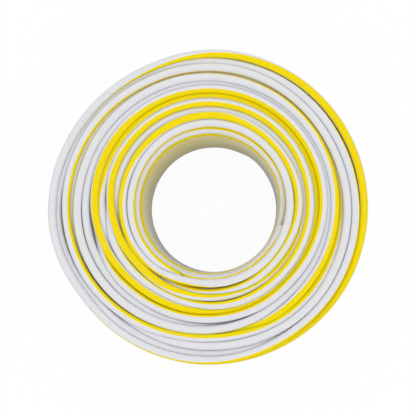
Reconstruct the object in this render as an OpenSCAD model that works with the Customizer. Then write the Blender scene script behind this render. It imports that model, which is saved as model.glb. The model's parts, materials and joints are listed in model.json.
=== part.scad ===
// Coil of single-core electrical wire, wound in layers and lying flat on one end face.
// The origin is the middle of the level that the coil lies on, and +Z runs up the winding axis.
// Each turn is a closed ring here: the small climb from one turn to the next is not drawn.

/* [Wire] */
// Outer diameter of the insulated wire
wire_d = 4; // [3:0.1:6]

/* [Coil] */
// Outer diameter over the outermost layer
coil_d = 156; // [130:1:220]
// Height from one end face to the other
coil_h = 50; // [30:1:110]

/* [Centre hole] */
// Diameter of the hole that the winding mandrel leaves
hole_d = 67; // [50:1:90]

/* [Winding] */
// Distance between two layers, as a share of the wire's diameter
layer_share = 0.84; // [0.8:0.01:0.87]
// Distance between two turns of a layer, as a share of the wire's diameter
turn_share = 1.1; // [1:0.01:1.2]
// Depth to which the mandrel and its cheeks press the bordering turns flat
flat = 0.1; // [0.05:0.05:0.3]

/* [Hidden] */
$fn = 64;

wire_r = wire_d / 2;

// Radii of the innermost and outermost layers, to the middle of the wire
first_r = hole_d / 2 - flat + wire_r;
last_r = coil_d / 2 - wire_r;
outermost = round((last_r - first_r) / (wire_d * layer_share));
layer_pitch = (last_r - first_r) / outermost;

// Heights of the lowest and highest turns, to the middle of the wire. A layer lies in the
// grooves of the one inside it, so every second layer stands half a turn higher.
bottom_z = wire_r - flat;
top_z = coil_h - wire_r + flat;
topmost = round((top_z - bottom_z) / (wire_d * turn_share) - 0.5);
turn_pitch = (top_z - bottom_z) / (topmost + 0.5);

function stands_higher(layer) = layer % 2 == outermost % 2;
function layer_r(layer) = first_r + layer * layer_pitch;
function turn_z(layer, turn) = bottom_z + (turn + (stands_higher(layer) ? 0.5 : 0)) * turn_pitch;

// The middle of a turn, as radius and height
function turn_at(layer, turn) = [layer_r(layer), turn_z(layer, turn)];

// The turns that border the winding, in order round its section
border = concat(
    [for (layer = [0 : outermost]) turn_at(layer, 0)],
    [for (turn = [1 : topmost]) turn_at(outermost, turn)],
    [for (layer = [outermost - 1 : -1 : 0]) turn_at(layer, topmost)],
    [for (turn = [topmost - 1 : -1 : 1]) turn_at(0, turn)]
);

// Section of the winding: a round ridge for each turn on its border, and solid behind them
module section() {
    intersection() {
        union() {
            polygon(border);
            for (middle = border)
                translate(middle) circle(r = wire_r);
        }
        translate([hole_d / 2, 0]) square([coil_d / 2, coil_h]);
    }
}

// All the turns of the wire, which lie against each other as one ring
module wound_turns() {
    color("whitesmoke")
        rotate_extrude($fn = 180)
            section();
}

wound_turns();
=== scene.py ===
"""Coil of white electrical wire with a yellow stripe, wound in layers around an open hole.

The wire is one closed tube, and a loop works out its path ring by ring: down one layer and up
the next, from the hole outwards and clockwise seen from above. Azimuths are in degrees from +X,
anticlockwise, so the wire runs towards falling azimuths.
"""

import bisect
import json
import math

import bpy
from mathutils import Matrix, Vector, noise


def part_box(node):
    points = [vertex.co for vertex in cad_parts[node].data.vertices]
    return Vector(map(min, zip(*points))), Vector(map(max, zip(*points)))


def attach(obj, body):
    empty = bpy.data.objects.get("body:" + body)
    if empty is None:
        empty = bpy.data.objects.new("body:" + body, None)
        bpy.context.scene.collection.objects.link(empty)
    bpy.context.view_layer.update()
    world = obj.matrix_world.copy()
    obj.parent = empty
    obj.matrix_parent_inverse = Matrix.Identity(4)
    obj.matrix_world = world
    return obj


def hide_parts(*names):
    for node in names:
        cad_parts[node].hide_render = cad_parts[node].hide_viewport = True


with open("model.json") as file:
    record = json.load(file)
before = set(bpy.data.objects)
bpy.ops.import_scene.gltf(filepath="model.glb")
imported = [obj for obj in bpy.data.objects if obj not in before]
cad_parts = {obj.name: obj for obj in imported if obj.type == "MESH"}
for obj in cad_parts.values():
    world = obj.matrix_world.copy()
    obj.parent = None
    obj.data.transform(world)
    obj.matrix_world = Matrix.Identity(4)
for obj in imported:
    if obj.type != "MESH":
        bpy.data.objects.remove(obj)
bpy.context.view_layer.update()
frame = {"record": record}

MM = 0.001
LAP = 360
NODE = "wound_turns"

# Sizes of the winding, from the frame
low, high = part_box(NODE)
bore = next(m for m in frame["record"]["mounts"] if m["name"] == "centre_hole")
HOLE_R = bore["dims"]["r_mm"] * MM
OUTER_R = (high.x - low.x) / 2
HEIGHT = high.z - low.z

# Sizes that the frame doesn't give: the wire, the depth to which the mandrel and the cheeks press
# it flat, the number of layers, and the number of turns in each
WIRE_D = 4 * MM
WIRE_R = WIRE_D / 2
FLAT = 0.1 * MM
LAYERS = 13
TURNS = 11

# Where the middle of the wire lies in the first layer and in the lowest and highest turns
FIRST_R = HOLE_R - FLAT + WIRE_R
LAYER_PITCH = (OUTER_R - WIRE_R - FIRST_R) / (LAYERS - 1)
BOTTOM_Z = WIRE_R - FLAT
TOP_Z = HEIGHT - BOTTOM_Z
TURN_PITCH = (TOP_Z - BOTTOM_Z) / (TURNS - 0.5)

# Azimuths of the wire's inner end, of its crossings from layer to layer, at the bottom and the
# top in turn, and of its outer end, each with half its length in degrees
CROSSINGS = [
    (347, 0), (40, 30), (235, 35), (218, 30), (200, 40), (203, 30), (205, 35),
    (230, 30), (255, 58), (240, 30), (226, 48), (264, 30), (303, 30), (310, 0),
]

# The most that a layer may run on beyond its whole laps to reach its crossing, in degrees
MOST_BEYOND = 90

# Degrees that the wire spends in each layer's top ring, and in any bottom ring
TOP_RUNS = [338, 374, 352, 352, 376, 358, 362, 384, 330, 335, 346, 362, 345]
BOTTOM_RUN = 350

# Half the length of the step from a turn to the next in a layer, in degrees
STEP_HALF = 22

# Degrees on either side of a top ring's ends over which the turns under it blend the two
BLEND = 30

# The hole lies off the winding's centre by this much, towards this azimuth. The layers take up
# less of it the further out they lie.
HOLE_OFFSET = 1.4 * MM
HOLE_OFFSET_AT = 6

# The coil leans: its top rings lie outwards by LEAN towards LEAN_AT, inwards by as much on the
# other side, and outwards by OUTWARDS all round. All of it dies away over the outermost layers,
# as many as LEAN_FADES_OVER, and down to the bottom.
LEAN = 2.4 * MM
LEAN_AT = 105
OUTWARDS = 0.5 * MM
LEAN_FADES_OVER = 6

# How far a layer's top ring stands off from that, in mm outwards, by azimuth. A layer that isn't
# listed doesn't.
NUDGES = {
    0: [(345, 1), (270, 2), (210, 1.5), (150, 0.5), (50, 0.5), (0, 1)],
    1: [(240, -1), (205, -0.5), (155, -1), (115, -0.5), (80, 0)],
    2: [(200, 0), (140, -0.5), (80, 0.5), (45, 0), (5, 1), (-35, 0), (-65, 1), (-100, 1.5)],
    3: [(45, 0), (0, 1), (-35, 0), (-110, 0), (-150, -1)],
    4: [(190, -1), (150, 0), (-35, 0), (-80, 1), (-120, 0), (-165, 1)],
    6: [(10, 0), (-40, -1), (-65, 0), (-95, 0.5), (-130, 1), (-160, 2.5)],
    7: [(240, 1), (205, 1.5), (165, 0.5), (120, -0.5), (80, 0), (-40, -0.5), (-80, 1), (-150, 1.5)],
    8: [(250, 1.5), (195, 2), (160, 0.5), (110, -0.5), (45, -1), (-35, -0.5), (-70, 1)],
    9: [(190, 2), (160, 1), (115, -0.5), (45, -1.5), (0, -1), (-50, 0), (-85, -1), (-170, 0.5)],
    10: [(180, 0.5), (140, -0.5), (110, -1.5), (80, -1.5), (35, -2.5), (0, -1.5), (-50, 0), (-90, -1)],
    11: [(280, -1), (225, -1), (185, 2), (160, 0.5), (115, -0.5), (30, -1.5), (-35, 0), (-75, -1.5)],
    12: [(280, -1.5), (220, -1.5), (185, 1), (140, -1), (115, -1.5), (80, 0)],
}

# Share of its nudge that a turn passes on to the turn under it
NUDGE_KEPT = 0.5

# Slow wander of a top ring and of any other from its place, how quickly it changes around a ring
# and from ring to ring, and what keeps the wander in radius apart from that in height
TOP_WANDER = 0.04 * MM
LOWER_WANDER = 0.12 * MM
WANDER_DETAIL = 2.2
WANDER_BETWEEN_RINGS = 1.7
RADIUS_SALT = 3
HEIGHT_SALT = 11

# How far a layer's top ring lies below the highest place of a turn, in mm, by azimuth. A layer
# that isn't listed lies at that place.
DEPTHS = {
    0: [(345, 3.5), (300, 3.6), (270, 3.2), (245, 3.5), (160, 3.6), (115, 2.8), (45, 3), (0, 3.4)],
    2: [(-35, 0), (-60, 0.8), (-85, 1.5)],
    3: [(185, 2.4), (160, 1.7), (80, 1.8), (0, 2.6), (-35, 2.2), (-85, 0.9), (-110, 0.3),
        (-135, 0)],
    4: [(-35, 0), (-85, 0.5), (-105, 0.8), (-140, 0.2)],
    5: [(180, 1.2), (160, 1.5), (80, 1.9), (0, 2.6), (-35, 2.5), (-60, 2.2), (-85, 1.5),
        (-105, 0.8), (-130, 0)],
    6: [(-85, 0), (-130, 0.9)],
    7: [(250, 2), (210, 1.6), (185, 1), (160, 1.2), (80, 1.8), (0, 2), (-35, 1.6), (-60, 0.8),
        (-75, 0)],
    9: [(185, 2.6), (160, 2.2), (115, 2.6), (45, 3.4), (0, 3.2), (-15, 2.3), (-35, 1.2),
        (-60, 0.5), (-85, 0)],
    11: [(275, 2.1), (255, 1.6), (230, 1.1), (210, 2), (185, 2), (145, 2), (105, 1.8),
         (80, 1.4), (45, 0)],
    12: [(45, 0), (0, 1), (-20, 2.2), (-55, 3)],
}

# Which way the stripe faces on the top ring of each layer, by azimuth: 0 is up, 90 is outwards.
# The first layer's go on down the hole's wall, with azimuths that fall lap by lap.
ROLLS = {
    0: [(345, 65), (325, 35), (300, 25), (270, 25), (250, 30), (230, 60), (140, 60), (115, 65),
        (80, 55), (45, 55), (0, 75), (-45, 220), (-110, 240), (-150, 265), (-180, 285),
        (-210, 300), (-280, 300), (-320, 270), (-370, 260), (-520, 360), (-3500, 360)],
    1: [(265, -75), (240, -75), (210, -85), (185, -90), (160, -100), (140, -110), (115, -115),
        (80, -120), (0, -130), (-30, -145), (-60, -180), (-85, -240), (-105, -275)],
    2: [(245, 85), (230, 85), (215, 60), (180, 50), (160, 45), (140, 30), (115, 5), (85, -5),
        (65, -35), (45, -40), (25, -50), (0, -65), (-35, -80), (-85, -80)],
    3: [(185, -150), (160, -130), (80, -110), (0, -85), (-35, -45), (-85, -55), (-105, -50),
        (-130, -15), (-150, -5)],
    4: [(190, -10), (160, -35), (115, -50), (80, -50), (0, -65), (-35, -70), (-85, -80),
        (-130, -90), (-155, -100)],
    5: [(180, 75), (160, 40), (140, 30), (80, 30), (0, 35), (-35, 40), (-70, 50), (-95, 20),
        (-150, 10)],
    6: [(185, -10), (160, -15), (140, -30), (115, -55), (80, -60), (45, -60), (0, -70),
        (-35, -80), (-85, -90), (-130, -80), (-150, -75)],
    7: [(265, 150), (160, 180), (0, 200), (-60, 190)],
    8: [(270, 180), (200, 150), (140, 135), (105, 115), (80, 100), (45, 80), (25, 70), (0, 50),
        (-35, 35), (-60, 20), (-85, 10)],
    9: [(190, -150), (160, -130), (105, -105), (80, -90), (45, -70), (15, -65), (0, -55),
        (-85, -60), (-130, -75)],
    10: [(185, -80), (160, -85), (140, -95), (115, -110), (80, -130), (45, -140), (0, -165),
         (-60, -190), (-130, -200)],
    11: [(280, -150), (230, -165), (160, -180), (120, -190), (70, -215), (45, -240),
         (25, -265), (-35, -260)],
    12: [(285, -295), (265, -280), (250, -270), (230, -255), (175, -180), (150, -140),
         (135, -125), (120, -100), (105, -75), (80, -40), (45, -5), (0, 0), (-35, 10),
         (-60, 20), (-85, 40), (-105, 70), (-130, 100)],
}

# How far the stripe drifts around the wire in each lap of the hidden turns
ROLL_PER_LAP = -137

# The tube: the stripe's width in degrees around it, the sides it has there and on the white, and
# the degrees along the wire from one ring of corners to the next, where it is seen and where not
STRIPE_ARC = 115
STRIPE_SIDES = 4
WHITE_SIDES = 8
SIDES = STRIPE_SIDES + WHITE_SIDES
SEEN_STEP = 3
HIDDEN_STEP = 15

# The bare copper at the cut ends
CORE_R = 1.05 * MM

# The wire's material slots
WHITE_SLOT = 0
YELLOW_SLOT = 1
COPPER_SLOT = 2

# The PVC: its two colours, how far light of each channel travels in it, and its skin
WHITE = (0.755, 0.76, 0.785)
WHITE_GLOW = (1, 1, 1)
YELLOW = (0.88, 0.72, 0.003)
YELLOW_GLOW = (1, 0.7, 0.1)
GLOW_DEPTH = 1.2 * MM
PVC_SPECULAR = 0.12
GRAIN_SCALE = 900
GRAIN_DETAIL = 3
GRAIN_STRENGTH = 0.12
GRAIN_HEIGHT = 0.1 * MM
GLOSSIEST = 0.34
ROUGHEST = 0.52

# The cut end of the stranded core
COPPER = (0.72, 0.36, 0.2)
COPPER_ROUGHNESS = 0.35
STRANDS_SCALE = 4000
STRANDS_STRENGTH = 0.6
STRANDS_HEIGHT = 0.15 * MM

# The camera: its lens, how near and how far it sees, and its place beside the axis and above the
# upper end face
SENSOR_MM = 36
LENS_MM = 79.4
NEAREST = 0.01
FURTHEST = 20
BESIDE_X = 0.0172
BESIDE_Y = -0.0098
ABOVE = 0.447

# The floor: half its width, its level and roughness, the share of it that glows white to the
# camera, and its colour to the camera and to the rays that light the coil
FLOOR_HALF = 3.0
FLOOR_LEVEL = -0.3 * MM
FLOOR_ROUGHNESS = 0.9
FLOOR_WHITENESS = 0.95
FLOOR_SEEN = (0.96, 0.96, 0.96)
FLOOR_UNSEEN = (0.3, 0.3, 0.29)

# The lamp over the coil
LAMP_SIZE = 1.2
LAMP_POWER = 0.8
LAMP_AT = (0.35, 0.35, 1.3)


def smooth(t):
    """0 to 1, level at both ends."""
    t = min(max(t, 0.0), 1.0)
    return t * t * (3 - 2 * t)


def mix(a, b, t):
    """a at 0, b at 1."""
    return a + (b - a) * t


def curve_through(knots, x):
    """A smooth curve through (x, value) knots in rising x, level beyond the first and last."""
    xs = [k[0] for k in knots]
    i = bisect.bisect_right(xs, x)
    if i == 0:
        return knots[0][1]
    if i == len(knots):
        return knots[-1][1]

    def slope(j):
        if j in (0, len(knots) - 1):
            return 0.0
        before = (knots[j][1] - knots[j - 1][1]) / (xs[j] - xs[j - 1])
        after = (knots[j + 1][1] - knots[j][1]) / (xs[j + 1] - xs[j])
        return 0.0 if before * after <= 0 else 2 * before * after / (before + after)

    gap = xs[i] - xs[i - 1]
    t = (x - xs[i - 1]) / gap
    a, b = knots[i - 1][1], knots[i][1]
    return (
        mix(a, b, smooth(t))
        + gap * slope(i - 1) * t * (1 - t) ** 2
        - gap * slope(i) * t * t * (1 - t)
    )


# ---- the winding's rings, and where the wire changes from one to the next


def winding():
    """The wire's rings in its own order, as (layer, turn), the changes between them, as (degrees
    along the wire, half the change's length), and the degrees at which the layers start."""
    rings, changes, starts = [], [], [0.0]
    for layer in range(LAYERS):
        here, after = CROSSINGS[layer], CROSSINGS[layer + 1]
        short = (after[0] - here[0] + MOST_BEYOND) % LAP - MOST_BEYOND
        length = LAP * TURNS - short
        start = starts[-1]
        runs = (BOTTOM_RUN, TOP_RUNS[layer]) if layer % 2 else (TOP_RUNS[layer], BOTTOM_RUN)
        first = start + runs[0]
        last = start + length - runs[1]
        for step in range(TURNS):
            turn = step if layer % 2 else TURNS - 1 - step
            rings.append((layer, turn))
            if step < TURNS - 1:
                changes.append((mix(first, last, step / (TURNS - 2)), STEP_HALF))
        starts.append(start + length)
        changes.append((starts[-1], after[1]))
    # The last change of all is the wire's outer end, which leads nowhere
    return rings, changes[:-1], starts


RINGS, CHANGES, LAYER_STARTS = winding()
CHANGES_AT = [c[0] for c in CHANGES]
START_AT = CROSSINGS[0][0]


def top_ring_start(layer):
    """Degrees along the wire at which a layer's top ring starts."""
    return LAYER_STARTS[layer + 1] - LAP if layer % 2 else LAYER_STARTS[layer]


def along_wire(layer, pairs):
    """(azimuth, value) pairs of a layer's top ring, as (degrees along the wire, value)."""
    start = top_ring_start(layer)
    azimuth = CROSSINGS[layer + layer % 2][0]
    return [(start + azimuth - a, value) for a, value in pairs]


NUDGE_KNOTS = {layer: along_wire(layer, pairs) for layer, pairs in NUDGES.items()}
DEPTH_KNOTS = {layer: along_wire(layer, pairs) for layer, pairs in DEPTHS.items()}


def settled(knots, layer, along):
    """A top ring's nudge or depth, in metres, at a place on that ring."""
    return curve_through(knots[layer], along) * MM if layer in knots else 0.0


def settled_under(knots, layer, azimuth):
    """The same by azimuth, for the turns under it, with the ring's two ends blended."""
    start = top_ring_start(layer)
    past = (START_AT - start - azimuth + BLEND) % LAP - BLEND
    value = settled(knots, layer, start + past)
    if past < BLEND:
        value_at_end = settled(knots, layer, start + past + LAP)
        value = mix(value_at_end, value, smooth((past + BLEND) / (2 * BLEND)))
    return value


def uneven(azimuth, ring, salt):
    """A slow wander around a ring, from about -1 to 1."""
    a = math.radians(azimuth)
    x = WANDER_DETAIL * math.cos(a) + salt
    y = WANDER_DETAIL * math.sin(a)
    return noise.noise(Vector((x, y, WANDER_BETWEEN_RINGS * ring)))


def leaning(layer, azimuth):
    """How far the lean carries a layer's top ring outwards."""
    share = smooth((LAYERS - layer) / LEAN_FADES_OVER)
    return share * (OUTWARDS + LEAN * math.cos(math.radians(azimuth - LEAN_AT)))


def place(ring, along):
    """(radius, height) of one of the wire's rings at a place along the wire."""
    layer, turn = RINGS[ring]
    azimuth = START_AT - along
    turns_above = TURNS - 1 - turn
    up_share = turn / (TURNS - 1)
    offset = HOLE_OFFSET * (1 - layer / (LAYERS - 1))
    radius = FIRST_R + layer * LAYER_PITCH
    radius += offset * math.cos(math.radians(azimuth - HOLE_OFFSET_AT))
    radius += leaning(layer, azimuth) * up_share
    if turns_above == 0:
        radius += settled(NUDGE_KNOTS, layer, along)
        height = TOP_Z - settled(DEPTH_KNOTS, layer, along)
        wander = TOP_WANDER
    else:
        # An odd layer stands half a pitch lower, so its top ring can come down by that much
        # before the turns under it have to
        raised = 0 if layer % 2 else TURN_PITCH / 2
        lowered = TURN_PITCH / 2 - raised
        sunk = max(settled_under(DEPTH_KNOTS, layer, azimuth) - lowered, 0)
        radius += settled_under(NUDGE_KNOTS, layer, azimuth) * NUDGE_KEPT ** turns_above
        height = BOTTOM_Z + turn * TURN_PITCH + raised - sunk * up_share
        wander = LOWER_WANDER
    radius += wander * uneven(azimuth, ring, RADIUS_SALT)
    height += wander * uneven(azimuth, ring, HEIGHT_SALT)
    return radius, height


def wire_point(along):
    """The middle of the wire at a place along it."""
    i = bisect.bisect_left(CHANGES_AT, along)
    if i and along - CHANGES_AT[i - 1] < CHANGES[i - 1][1]:
        i -= 1
    if i < len(CHANGES) and CHANGES_AT[i] - along < CHANGES[i][1]:
        at, half = CHANGES[i]
        t = smooth((along - at + half) / (2 * half))
        a = place(i, along)
        b = place(i + 1, along)
        radius = mix(a[0], b[0], t)
        height = mix(a[1], b[1], t)
    else:
        radius, height = place(i, along)
    azimuth = math.radians(START_AT - along)
    return Vector((radius * math.cos(azimuth), radius * math.sin(azimuth), height))


def roll_knots():
    """The stripe's roll along the whole wire, as (degrees along the wire, roll): as given on the
    top rings, and a steady drift over the turns between them."""
    knots = []
    for layer in sorted(ROLLS):
        pairs = along_wire(layer, ROLLS[layer])
        if knots:
            gap = pairs[0][0] - knots[-1][0]
            drift = ROLL_PER_LAP * gap / LAP if gap > LAP else 0
            turned = round((knots[-1][1] + drift - pairs[0][1]) / 360) * 360
        else:
            turned = 0
        knots += [(at, roll + turned) for at, roll in pairs]
    end = LAYER_STARTS[-1]
    knots.append((end, knots[-1][1] + ROLL_PER_LAP * (end - knots[-1][0]) / LAP))
    return knots


def stations():
    """Places along the wire for the tube's rings: close where the wire is seen, and wide apart
    inside the winding."""
    places, at = [], 0.0
    end = LAYER_STARTS[-1]
    seen_reach = max(TOP_RUNS) + STEP_HALF
    while at < end:
        places.append(at)
        layer = min(bisect.bisect_right(LAYER_STARTS, at) - 1, LAYERS - 1)
        into = at - LAYER_STARTS[layer]
        left = LAYER_STARTS[layer + 1] - at
        hidden = 0 < layer < LAYERS - 1 and into > seen_reach and left > seen_reach
        at += HIDDEN_STEP if hidden else SEEN_STEP
    places.append(end)
    return places


def corner_angles():
    """Angles around the tube from the stripe's middle, with corners on both stripe edges."""
    stripe = [STRIPE_ARC * (i / STRIPE_SIDES - 0.5) for i in range(STRIPE_SIDES)]
    white = [STRIPE_ARC / 2 + (360 - STRIPE_ARC) * i / WHITE_SIDES for i in range(WHITE_SIDES)]
    return stripe + white


# ---- materials


def node_material(name):
    """A new material, with its nodes and its links."""
    material = bpy.data.materials.new(name)
    material.use_nodes = True
    return material, material.node_tree.nodes, material.node_tree.links


def pvc(name, colour, glow):
    """Satin PVC: slightly uneven gloss, and the fine grain of an extruded skin."""
    material, nodes, links = node_material(name)
    shader = nodes["Principled BSDF"]
    shader.inputs["Base Color"].default_value = (*colour, 1)
    shader.inputs["Specular IOR Level"].default_value = PVC_SPECULAR
    shader.inputs["Subsurface Weight"].default_value = 1
    shader.inputs["Subsurface Radius"].default_value = glow
    shader.inputs["Subsurface Scale"].default_value = GLOW_DEPTH
    where = nodes.new("ShaderNodeTexCoord")
    grain = nodes.new("ShaderNodeTexNoise")
    grain.inputs["Scale"].default_value = GRAIN_SCALE
    grain.inputs["Detail"].default_value = GRAIN_DETAIL
    links.new(where.outputs["Object"], grain.inputs["Vector"])
    gloss = nodes.new("ShaderNodeMapRange")
    gloss.inputs["To Min"].default_value = GLOSSIEST
    gloss.inputs["To Max"].default_value = ROUGHEST
    links.new(grain.outputs["Fac"], gloss.inputs["Value"])
    links.new(gloss.outputs["Result"], shader.inputs["Roughness"])
    bump = nodes.new("ShaderNodeBump")
    bump.inputs["Strength"].default_value = GRAIN_STRENGTH
    bump.inputs["Distance"].default_value = GRAIN_HEIGHT
    links.new(grain.outputs["Fac"], bump.inputs["Height"])
    links.new(bump.outputs["Normal"], shader.inputs["Normal"])
    return material


def copper():
    """The cut end of the stranded core."""
    material, nodes, links = node_material("copper")
    shader = nodes["Principled BSDF"]
    shader.inputs["Base Color"].default_value = (*COPPER, 1)
    shader.inputs["Metallic"].default_value = 1
    shader.inputs["Roughness"].default_value = COPPER_ROUGHNESS
    where = nodes.new("ShaderNodeTexCoord")
    strands = nodes.new("ShaderNodeTexVoronoi")
    strands.inputs["Scale"].default_value = STRANDS_SCALE
    links.new(where.outputs["Object"], strands.inputs["Vector"])
    bump = nodes.new("ShaderNodeBump")
    bump.inputs["Strength"].default_value = STRANDS_STRENGTH
    bump.inputs["Distance"].default_value = STRANDS_HEIGHT
    bump.invert = True
    links.new(strands.outputs["Distance"], bump.inputs["Height"])
    links.new(bump.outputs["Normal"], shader.inputs["Normal"])
    return material


# ---- the wire


def tube_corners(places, middles):
    """The corners of the whole tube, ring by ring."""
    rolls = roll_knots()
    corners = corner_angles()
    last = len(middles) - 1
    verts = []
    for i, middle in enumerate(middles):
        ahead = (middles[min(i + 1, last)] - middles[max(i - 1, 0)]).normalized()
        up = (Vector((0, 0, 1)) - ahead * ahead.z).normalized()
        outwards = up.cross(ahead)
        roll = curve_through(rolls, places[i])
        for corner in corners:
            angle = math.radians(roll + corner)
            verts.append(middle + (up * math.cos(angle) + outwards * math.sin(angle)) * WIRE_R)
    return verts


def skin_slot(side):
    """The material of one of the tube's sides, or of the rim beside it at a cut end."""
    return YELLOW_SLOT if side < STRIPE_SIDES else WHITE_SLOT


def tube_sides(rings):
    """The faces along the tube between its rings of corners, and their materials."""
    faces, slots = [], []
    for i in range(rings - 1):
        for side in range(SIDES):
            after = (side + 1) % SIDES
            a = i * SIDES
            b = a + SIDES
            faces.append((a + side, a + after, b + after, b + side))
            slots.append(skin_slot(side))
    return faces, slots


def close_end(verts, faces, slots, middle, first, way):
    """Adds a cut end: a rim of PVC, and the core's face inside it. first is the index of the
    end ring's first corner, and way is 1 at the inner end and -1 at the outer end."""
    core = len(verts)
    for side in range(SIDES):
        verts.append(middle + (verts[first + side] - middle) * (CORE_R / WIRE_R))
    for side in range(SIDES):
        after = (side + 1) % SIDES
        rim = (first + side, core + side, core + after, first + after)
        faces.append(rim[::way])
        slots.append(skin_slot(side))
    faces.append(tuple(range(core, core + SIDES))[::-way])
    slots.append(COPPER_SLOT)


def wire():
    """The whole wire as one closed tube, with its stripe as faces of their own material."""
    places = stations()
    middles = [wire_point(at) for at in places]
    verts = tube_corners(places, middles)
    faces, slots = tube_sides(len(middles))
    outer_ring = len(verts) - SIDES
    close_end(verts, faces, slots, middles[0], 0, 1)
    close_end(verts, faces, slots, middles[-1], outer_ring, -1)
    mesh = bpy.data.meshes.new("wire")
    mesh.from_pydata(verts, [], faces)
    # In the order of their slots
    for material in (
        pvc("white_pvc", WHITE, WHITE_GLOW),
        pvc("yellow_pvc", YELLOW, YELLOW_GLOW),
        copper(),
    ):
        mesh.materials.append(material)
    mesh.polygons.foreach_set("material_index", slots)
    mesh.polygons.foreach_set("use_smooth", [slot != COPPER_SLOT for slot in slots])
    mesh.update()
    piece = bpy.data.objects.new("wire", mesh)
    bpy.context.collection.objects.link(piece)
    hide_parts(NODE)
    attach(piece, "root")


# ---- the studio


def camera():
    """Looks down at the coil from just beside its axis, with +Y at the top of the picture."""
    data = bpy.data.cameras.new("camera")
    data.sensor_width = SENSOR_MM
    data.lens = LENS_MM
    data.clip_start = NEAREST
    data.clip_end = FURTHEST
    shot = bpy.data.objects.new("camera", data)
    bpy.context.collection.objects.link(shot)
    shot.location = (BESIDE_X, BESIDE_Y, HEIGHT + ABOVE)
    ahead = (Vector((0, 0, HEIGHT)) - shot.location).normalized()
    right = ahead.cross(Vector((0, 1, 0))).normalized()
    up = right.cross(ahead)
    shot.rotation_mode = "QUATERNION"
    shot.rotation_quaternion = Matrix((right, up, -ahead)).transposed().to_quaternion()
    bpy.context.scene.camera = shot


def seen_by_ray(nodes, links):
    """1 for rays from the camera and for those that gloss and glass send out, else 0."""
    path = nodes.new("ShaderNodeLightPath")
    camera_or_gloss = nodes.new("ShaderNodeMath")
    camera_or_gloss.operation = "MAXIMUM"
    any_of_three = nodes.new("ShaderNodeMath")
    any_of_three.operation = "MAXIMUM"
    links.new(path.outputs["Is Camera Ray"], camera_or_gloss.inputs[0])
    links.new(path.outputs["Is Glossy Ray"], camera_or_gloss.inputs[1])
    links.new(camera_or_gloss.outputs[0], any_of_three.inputs[0])
    links.new(path.outputs["Is Transmission Ray"], any_of_three.inputs[1])
    return any_of_three.outputs[0]


def floor():
    """A plain white sheet under the coil, which keeps a pale shadow."""
    material, nodes, links = node_material("floor")
    shader = nodes["Principled BSDF"]
    shader.inputs["Roughness"].default_value = FLOOR_ROUGHNESS
    shader.inputs["Specular IOR Level"].default_value = 0
    glow = nodes.new("ShaderNodeEmission")
    share = nodes.new("ShaderNodeMath")
    share.operation = "MULTIPLY"
    share.inputs[1].default_value = FLOOR_WHITENESS
    blend = nodes.new("ShaderNodeMixShader")
    seen = seen_by_ray(nodes, links)
    shade = nodes.new("ShaderNodeMix")
    shade.data_type = "RGBA"
    shade.inputs["A"].default_value = (*FLOOR_UNSEEN, 1)
    shade.inputs["B"].default_value = (*FLOOR_SEEN, 1)
    links.new(seen, shade.inputs["Factor"])
    links.new(shade.outputs["Result"], shader.inputs["Base Color"])
    links.new(seen, share.inputs[0])
    links.new(share.outputs[0], blend.inputs["Fac"])
    links.new(shader.outputs[0], blend.inputs[1])
    links.new(glow.outputs[0], blend.inputs[2])
    links.new(blend.outputs[0], nodes["Material Output"].inputs["Surface"])
    mesh = bpy.data.meshes.new("floor")
    signs = ((-1, -1), (1, -1), (1, 1), (-1, 1))
    corners = [(x * FLOOR_HALF, y * FLOOR_HALF, FLOOR_LEVEL) for x, y in signs]
    mesh.from_pydata(corners, [], [(0, 1, 2, 3)])
    mesh.materials.append(material)
    sheet = bpy.data.objects.new("floor", mesh)
    bpy.context.collection.objects.link(sheet)


def lights():
    """An even white surround, which lights the coil softly from all sides, and a weak soft lamp."""
    world = bpy.data.worlds.new("studio")
    bpy.context.scene.world = world
    world.use_nodes = True
    surround = world.node_tree.nodes["Background"]
    surround.inputs["Color"].default_value = (1, 1, 1, 1)
    surround.inputs["Strength"].default_value = 1
    data = bpy.data.lights.new("overhead", "AREA")
    data.shape = "DISK"
    data.size = LAMP_SIZE
    data.energy = LAMP_POWER
    lamp = bpy.data.objects.new("overhead", data)
    lamp.location = LAMP_AT
    lamp.rotation_euler = (-lamp.location).to_track_quat("-Z", "Y").to_euler()
    bpy.context.collection.objects.link(lamp)


camera()
wire()
floor()
lights()
bpy.context.scene.view_settings.view_transform = "Standard"
